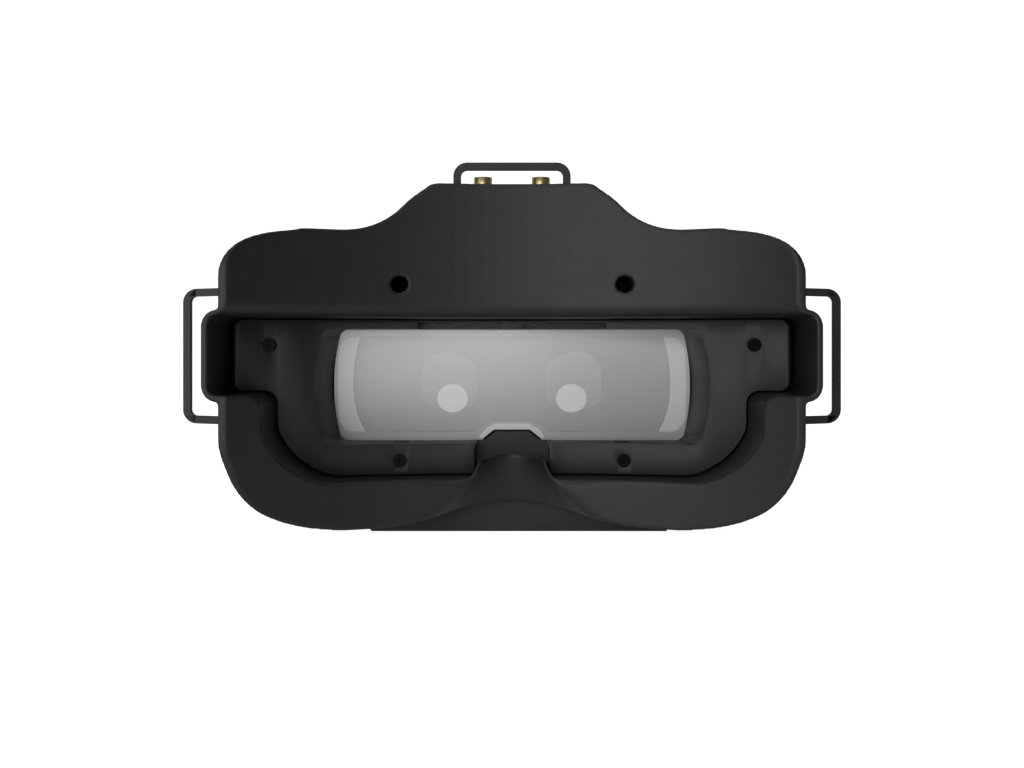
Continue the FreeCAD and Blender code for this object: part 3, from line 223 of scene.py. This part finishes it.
def make_materials():
    """A material for every CAD node."""
    black_dye = (0.009, 0.009, 0.0093)
    shell = moulded("shell_plastic", black_dye, 0.5, 0.035)
    inner = moulded("inner_plastic", (0.03, 0.03, 0.031), 0.6, 0.02)
    gold = metal("gold_plate", (0.95, 0.80, 0.42), 0.36)
    steel = metal("plated_steel", (0.55, 0.55, 0.56), 0.32, brush=(1.0, 1.0, 14.0))
    oxide = metal("black_steel", (0.010, 0.010, 0.011), 0.5)
    black = moulded("black_housing", (0.014, 0.014, 0.015), 0.45, 0.015)
    board = circuit("circuit_board")
    return {
        "rear_shell": shell,
        "front_shell": shell,
        "front_panel": gloss("panel_gloss", (0.012, 0.012, 0.013), 0.14),
        "light_pipe": gloss("light_pipe_clear", (0.75, 0.77, 0.8), 0.2),
        "lens_surround": moulded("surround_plastic", black_dye, 0.5, 0.03),
        "surround_screws": oxide,
        "lens": gloss("lens_acrylic", (0.33, 0.33, 0.33), 0.18),
        "lens_gasket": rubber("gasket_rubber", (0.02, 0.02, 0.02), 0.7),
        "chassis": inner,
        "light_tunnel": inner,
        "lcd_panel": gloss("screen_glass", (0.02, 0.024, 0.035), 0.1),
        "backlight": moulded("backlight_white", (0.75, 0.75, 0.73), 0.5, 0.01),
        "display_bracket": steel,
        "bracket_screws": oxide,
        "main_board": board,
        "board_chips": black,
        "heatsink": metal("anodised_aluminium", (0.6, 0.61, 0.63), 0.35,
                          brush=(14.0, 1.0, 1.0)),
        "receiver_board": board,
        "shield_cans": steel,
        "antenna_jacks": gold,
        "antenna_washers": gold,
        "antenna_nuts": gold,
        "fan_frame": black,
        "fan_rotor": black,
        "fan_screws": oxide,
        "button_board": board,
        "key_switches": black,
        "jog_board": board,
        "jog_carrier": inner,
        "jog_wheel": rubber("wheel_rubber", (0.02, 0.02, 0.02), 0.6),
        "housing_screws": oxide,
        "strap_loop_right": moulded("loop_plastic", black_dye, 0.5, 0.015),
        "strap_loop_left": bpy.data.materials["loop_plastic"],
        "strap_loop_top": bpy.data.materials["loop_plastic"],
        "loop_pins_right": steel,
        "loop_pins_left": steel,
        "loop_pins_top": steel,
        "hdmi_port": steel,
        "av_jack": black,
        "card_slot": steel,
        "power_inlet": black,
        "earphone_jack": black,
        "power_button": moulded("key_plastic", (0.022, 0.022, 0.023), 0.4, 0.015),
        "menu_button": bpy.data.materials["key_plastic"],
    }


def dress(obj, material):
    obj.data.materials.clear()
    obj.data.materials.append(material)


# ---- CAD nodes that stay ----------------------------------------------------------------------
SOFT_EDGES = {     # radius that breaks each moulded edge, in mm
    "front_shell": 0.5,
    "lens_surround": 0.3,
    "strap_loop_right": 0.5,
    "strap_loop_left": 0.5,
    "strap_loop_top": 0.5,
    "front_panel": 0.3,
    "power_button": 0.3,
    "menu_button": 0.3,
    "antenna_nuts": 0.2,
    "antenna_jacks": 0.12,
}
SHELL_VOXEL = 0.6              # net of the rear shell, in mm
NOSE_PLACE = (0.0, -0.022, 0.016)
NOSE_REACH = 0.036             # how far round the nose the fillets are wide
NOSE_ROUNDS = 30


def soften(obj, radius_mm):
    """Joins the faces of a CAD node and breaks its sharp edges."""
    weld = obj.modifiers.new("join", "WELD")
    weld.merge_threshold = 1e-6
    bevel = obj.modifiers.new("edges", "BEVEL")
    bevel.width = radius_mm * MM
    bevel.segments = 2
    bevel.limit_method = "ANGLE"
    bevel.angle_limit = math.radians(35.0)


def remould(obj, voxel_mm, rounds):
    """Rounds every edge of a moulded shell a little, as its mould does."""
    net = obj.modifiers.new("net", "REMESH")
    net.mode = "VOXEL"
    net.voxel_size = voxel_mm * MM
    net.use_smooth_shade = True
    relax = obj.modifiers.new("relax", "SMOOTH")
    relax.factor = 0.5
    relax.iterations = rounds


def vector_sockets(sockets):
    return [socket for socket in sockets if socket.type == "VECTOR" and socket.enabled]


def melt(obj, place, reach, rounds):
    """Runs the surface smoothly together round a place, where the moulding has wide fillets."""
    tree = bpy.data.node_groups.new("melt", "GeometryNodeTree")
    for way in ("INPUT", "OUTPUT"):
        tree.interface.new_socket("Geometry", in_out=way, socket_type="NodeSocketGeometry")
    start = tree.nodes.new("NodeGroupInput")
    end = tree.nodes.new("NodeGroupOutput")
    position = tree.nodes.new("GeometryNodeInputPosition")
    blur = tree.nodes.new("GeometryNodeBlurAttribute")
    blur.data_type = "FLOAT_VECTOR"
    blur.inputs["Iterations"].default_value = rounds
    away = tree.nodes.new("ShaderNodeVectorMath")
    away.operation = "DISTANCE"
    away.inputs[1].default_value = place
    share = tree.nodes.new("ShaderNodeMapRange")
    share.interpolation_type = "SMOOTHSTEP"
    share.inputs["From Min"].default_value = reach
    share.inputs["From Max"].default_value = reach * 0.6
    mix = tree.nodes.new("ShaderNodeMix")
    mix.data_type = "VECTOR"
    move = tree.nodes.new("GeometryNodeSetPosition")
    link = tree.links.new
    plain, smooth = vector_sockets(mix.inputs)[-2:]
    link(position.outputs[0], vector_sockets(blur.inputs)[0])
    link(position.outputs[0], away.inputs[0])
    link(away.outputs["Value"], share.inputs["Value"])
    link(share.outputs["Result"], mix.inputs[0])
    link(position.outputs[0], plain)
    link(vector_sockets(blur.outputs)[0], smooth)
    link(start.outputs[0], move.inputs["Geometry"])
    link(vector_sockets(mix.outputs)[0], move.inputs["Position"])
    link(move.outputs[0], end.inputs[0])
    modifier = obj.modifiers.new("melt", "NODES")
    modifier.node_group = tree


# ---- lens -----------------------------------------------------------------------------------
LENS_LOW, LENS_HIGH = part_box("lens")
LENS_BACK_Y = LENS_LOW.y           # the face towards the wearer
REFLECTION_X = 0.0221                     # half the distance between the two painted reflections
FACET_X = 0.0620                   # outer side of the end facets, which are painted as highlights
FACET_ROUND_X = 0.0049             # their outer corners
FACET_ROUND_Z = 0.0070
SHADE_LINE_X = 0.0641                    # outer side of the painted shade line between lens and window
SHADE_LINE_Z = 0.05215
SHADE_LINE_HALF = 0.0172
SHADE_LINE_BOW = 0.0023
SHADE_LINE_WIDTH = 0.0006
PANE_TOP = 0.0693                  # pane inside the lens's rim
PANE_LOW = 0.0354
PANE_X = 0.0563
PANE_NOTCH = [(0.0085, 0.0393), (0.0137, PANE_LOW), (0.0500, PANE_LOW)]
NOTCH = [(0.0064, 0.0362), (0.0104, 0.0329)]
NOTCH_RIM = [(0.0064, 0.03625), (0.0105, 0.0330), (0.0118, 0.0337), (0.0093, 0.0366),
             (0.0062, 0.0384)]
# outline of the painted glint along the clip's foot
CLIP = [(-0.0052, 0.0710), (0.0056, 0.0710), (0.0056, 0.0717), (-0.0052, 0.0717)]
ARCH = [(-0.0098, 0.0430), (0.0098, 0.0430), (0.0103, 0.0560), (0.0094, 0.0610),
        (0.0014, 0.0655), (-0.0094, 0.0610), (-0.0103, 0.0560)]
# painted highlight discs, one in each arch
DISC_X = REFLECTION_X - 0.0009
DISC_Z = 0.0474
DISC_HALF_X = 0.0055
DISC_HALF_Z = 0.0051
RIM, PANE, FACET_HIGHLIGHT, REFLECTION_ARCH, HIGHLIGHT_DISC, CLIP_GLINT, SHADE_LINE = range(7)    # material slots of the lens


def rounded(points):
    """Corner cutting: turns a coarse closed outline into a smooth one."""
    for _ in range(3):
        cut = []
        for a, b in zip(points, points[1:] + points[:1]):
            cut.append((a[0] * 0.75 + b[0] * 0.25, a[1] * 0.75 + b[1] * 0.25))
            cut.append((a[0] * 0.25 + b[0] * 0.75, a[1] * 0.25 + b[1] * 0.75))
        points = cut
    return points


def slab(bm, outline, y0, y1, slot, bevel=0.0, edge_slot=None):
    """A closed outline in XZ made a thin slab, bevelled at y0, its face towards the wearer."""
    rings = [(0.0, y1)]
    if bevel:
        rings.append((0.0, y0 + bevel))
    rings.append((bevel, y0))
    cx = sum(p[0] for p in outline) / len(outline)
    cz = sum(p[1] for p in outline) / len(outline)
    loops = []
    for inset, y in rings:
        loop = []
        for x, z in outline:
            away = math.hypot(x - cx, z - cz) or 1.0
            place = (x - (x - cx) / away * inset, y, z - (z - cz) / away * inset)
            loop.append(bm.verts.new(place))
        loops.append(loop)
    faces = []
    for a, b in zip(loops, loops[1:]):
        for i in range(len(a)):
            j = (i + 1) % len(a)
            faces.append(bm.faces.new((a[i], a[j], b[j], b[i])))
    faces.append(bm.faces.new(loops[-1]))
    faces.append(bm.faces.new(list(reversed(loops[0]))))
    for face in faces:
        face.material_index = slot if edge_slot is None else edge_slot
    faces[-2].material_index = slot


def finish_mesh(bm, name, materials):
    """Makes a piece of the housing from a bmesh."""
    bmesh.ops.recalc_face_normals(bm, faces=bm.faces)
    mesh = bpy.data.meshes.new(name)
    bm.to_mesh(mesh)
    bm.free()
    mesh.set_sharp_from_angle(angle=math.radians(30.0))
    obj = bpy.data.objects.new(name, mesh)
    for material in materials:
        mesh.materials.append(material)
    SCENE.collection.objects.link(obj)
    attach(obj, "housing")
    return obj


def acrylic(name, low, high, rough=0.16):
    """Smoke-tinted acrylic with faint moulding lines, painted lighter towards the brow: a painted
    light gradient from low at the bottom to high at the top.
    """
    s = Surface(name, high, rough, coat=0.25)
    s.set("Coat Roughness", 0.08)
    split = s.add("ShaderNodeSeparateXYZ")
    s.link(s.place, split.inputs["Vector"])
    # painted light: the colour ramps up with height, lighter towards the brow
    height = s.span(split.outputs["Z"], 0.0, 1.0, LENS_LOW.z, LENS_HIGH.z)
    middle = tuple(0.55 * a + 0.45 * b for a, b in zip(low, high))
    tint = s.ramp(height, [(0.0, low), (0.45, middle), (1.0, high)])
    s.link(tint, s.shader.inputs["Base Color"])
    s.vary_rough(s.noise(60.0, 3.0), 0.03)
    s.bump(s.noise(160.0, 2.0, stretch=(0.3, 1.0, 4.0)), 0.004)
    return s.material


def grey(v):
    return (v, v, v)


def pane_side():
    """Bowed right side of the pane, from bottom to top."""
    middle = (PANE_LOW + PANE_TOP) / 2
    side = []
    for t in range(17):
        u = t / 8 - 1
        bow = 0.0025 if u > 0 else 0.0043
        side.append((PANE_X - bow * abs(u) ** 2.4, middle + u * (PANE_TOP - middle)))
    return side


def facet_highlight_outline():
    """End facet painted bright as a highlight, between the pane and the window's side, on the right.
    """
    corner = []
    for i in range(9):
        t = math.pi / 2 * i / 8
        x = FACET_X - FACET_ROUND_X * (1 - math.sin(t))
        corner.append((x, FACET_ROUND_Z * (1 - math.cos(t))))
    upper = [(x, PANE_TOP - drop) for x, drop in corner]
    lower = [(x, PANE_LOW + drop) for x, drop in reversed(corner)]
    bow = [(FACET_X + 0.0004, (PANE_LOW + PANE_TOP) / 2)]
    inner = [(x + 0.0003, z) for x, z in pane_side()]
    return inner + upper + bow + lower


def shade_line_outline():
    """Painted shade: a dark line between the lens and the side of the window, on the right."""
    shares = [t / 10 - 1 for t in range(21)]
    outer = [(SHADE_LINE_X - SHADE_LINE_BOW * u * u, SHADE_LINE_Z + u * SHADE_LINE_HALF) for u in shares]
    inner = [(x - SHADE_LINE_WIDTH * (1 - 0.5 * abs(u)), z)
             for (x, z), u in zip(reversed(outer), shares)]
    return outer + inner


def with_mirror(half):
    """Closes a right-hand half outline with its mirror image."""
    return half + [(-x, z) for x, z in reversed(half)]


def lens_body():
    """Outline of the whole moulding, notched over the nose, on the right."""
    z0, z1 = LENS_LOW.z, LENS_HIGH.z
    half = LENS_HIGH.x
    cut = 0.004
    return NOTCH + [(NOTCH[1][0], z0), (half - cut, z0), (half, z0 + cut), (half, z1 - cut),
                    (half - cut, z1)]


def make_lens():
    """The one-piece lens: a rim, a step in the moulded window, end facets painted bright as
    highlights, two painted reflections each with a painted highlight disc, a painted glint on the
    clip and painted shade lines at the window's sides.
    """
    materials = [
        acrylic("lens_rim", grey(0.43), grey(0.78)),
        acrylic("lens_pane", grey(0.37), grey(0.72), rough=0.2),
        # painted highlight: end facets, the pane's edge line and the notch rim are much lighter than
        # the pane
        acrylic("lens_facet_painted_highlight", grey(0.72), grey(0.93)),
        # painted reflection: lighter arches on both sides of the lens
        acrylic("lens_painted_reflection_arch", grey(0.40), grey(0.80), rough=0.25),
        # painted highlight: near-white discs standing for the lamps' reflections
        acrylic("lens_painted_highlight_disc", grey(0.88), grey(0.92), rough=0.3),
        # painted glint: a near-white bar on the clip's foot
        acrylic("lens_clip_painted_glint", grey(0.95), grey(0.97), rough=0.3),
        # painted shade: near-black strips along the window's sides
        rubber("lens_painted_shade_line", (0.004, 0.004, 0.004), 0.7),
    ]
    bm = bmesh.new()
    y = LENS_BACK_Y
    slab(bm, with_mirror(lens_body()), y, LENS_HIGH.y, RIM)
    pane = with_mirror(PANE_NOTCH + pane_side())
    # the pane's bevelled edge takes the facet colour as a painted highlight line
    slab(bm, pane, y - 0.00012, y, PANE, bevel=0.00016, edge_slot=FACET_HIGHLIGHT)
    # painted highlight: a light rim round the notch over the nose
    slab(bm, with_mirror(NOTCH_RIM), y - 0.00015, y, FACET_HIGHLIGHT)
    # painted glint: a near-white bar at the top middle of the lens
    slab(bm, CLIP, y - 0.0003, y, CLIP_GLINT)
    for side in (-1, 1):
        # painted highlight: a bright facet at each end of the window
        facet = [(side * x, z) for x, z in facet_highlight_outline()]
        slab(bm, facet, y - 0.0002, y, FACET_HIGHLIGHT, bevel=0.00006)
        # painted shade: a dark line at each side of the window
        slab(bm, [(side * x, z) for x, z in shade_line_outline()], y - 0.0002, y, SHADE_LINE)
        # painted reflection: a lighter arch on each side
        arch = [(side * (REFLECTION_X + x), z) for x, z in rounded(ARCH)]
        slab(bm, arch, y - 0.00022, y - 0.0001, REFLECTION_ARCH, bevel=0.00005)
        # painted highlight: a bright disc inside each arch
        disc = [(side * DISC_X + DISC_HALF_X * math.cos(t * math.pi / 24),
                 DISC_Z + DISC_HALF_Z * math.sin(t * math.pi / 24)) for t in range(48)]
        slab(bm, disc, y - 0.0003, y - 0.0001, HIGHLIGHT_DISC, bevel=0.00005)
    lens = finish_mesh(bm, "lens_moulding", materials)
    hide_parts("lens")


# ---- light and floor --------------------------------------------------------------------------
def area_light(name, size, power, place, aim):
    data = bpy.data.lights.new(name, "AREA")
    data.shape = "RECTANGLE"
    data.size, data.size_y = size
    data.energy = power
    lamp = bpy.data.objects.new(name, data)
    lamp.location = place
    lamp.rotation_euler = (Vector(aim) - Vector(place)).to_track_quat("-Z", "Y").to_euler()
    SCENE.collection.objects.link(lamp)


FLOOR_HALF = 3.0
FLOOR_BEND_Y = 1.2             # where the floor starts to bend up into the backdrop
FLOOR_BEND = 0.8
FLOOR_TOP = 4.0
FLOOR_SEEN = 0.95              # own light of the floor, as the camera sees it
FLOOR_GLOW = 0.18              # and as it lights the goggles
WORLD_GLOW = 0.035


def make_floor():
    """Plain white paper that bends up behind the goggles."""
    bm = bmesh.new()
    steps = 24
    rows = [(-FLOOR_HALF, 0.0)]
    for i in range(steps + 1):
        t = i * math.pi / 2 / steps
        rows.append((FLOOR_BEND_Y + FLOOR_BEND * math.sin(t), FLOOR_BEND - FLOOR_BEND * math.cos(t)))
    rows.append((FLOOR_BEND_Y + FLOOR_BEND, FLOOR_TOP))
    verts = [[bm.verts.new((x, y, z)) for x in (-FLOOR_HALF, FLOOR_HALF)] for y, z in rows]
    for a, b in zip(verts, verts[1:]):
        bm.faces.new((a[0], a[1], b[1], b[0]))
    mesh = bpy.data.meshes.new("floor")
    bm.to_mesh(mesh)
    bm.free()
    mesh.shade_smooth()
    floor = bpy.data.objects.new("floor", mesh)
    SCENE.collection.objects.link(floor)
    s = Surface("floor_white", (0.92, 0.92, 0.92), 0.9, specular=0.1)
    s.mottle(s.noise(3.0, 2.0), 0.005)
    s.set("Emission Color", (1.0, 1.0, 1.0, 1.0))
    seen = s.add("ShaderNodeLightPath").outputs["Is Camera Ray"]
    s.link(s.span(seen, FLOOR_GLOW, FLOOR_SEEN), s.shader.inputs["Emission Strength"])
    dress(floor, s.material)


def make_light():
    """A wide soft key light from the wearer's left, a soft light above and a dim room."""
    world = bpy.data.worlds.new("studio")
    world.use_nodes = True
    background = world.node_tree.nodes["Background"]
    background.inputs["Color"].default_value = (1.0, 1.0, 1.0, 1.0)
    path = world.node_tree.nodes.new("ShaderNodeLightPath")
    strength = world.node_tree.nodes.new("ShaderNodeMapRange")
    strength.inputs["To Min"].default_value = WORLD_GLOW
    strength.inputs["To Max"].default_value = 1.0
    world.node_tree.links.new(path.outputs["Is Camera Ray"], strength.inputs["Value"])
    world.node_tree.links.new(strength.outputs["Result"], background.inputs["Strength"])
    SCENE.world = world
    SCENE.view_settings.view_transform = "Standard"
    area_light("key", (1.1, 0.5), 5.2, (-0.44, -1.0, 0.22), (0.0, 0.0, 0.06))
    area_light("top", (0.9, 0.6), 3.2, (-0.1, -0.35, 1.0), (0.0, 0.0, 0.06))


# ---- build --------------------------------------------------------------------------------------
make_camera()
MATERIALS = make_materials()
for node, obj in NODES.items():
    dress(obj, MATERIALS[node])
for node, radius in SOFT_EDGES.items():
    soften(NODES[node], radius)
remould(NODES["rear_shell"], SHELL_VOXEL, 3)
melt(NODES["rear_shell"], NOSE_PLACE, NOSE_REACH, NOSE_ROUNDS)
make_lens()
make_floor()
make_light()
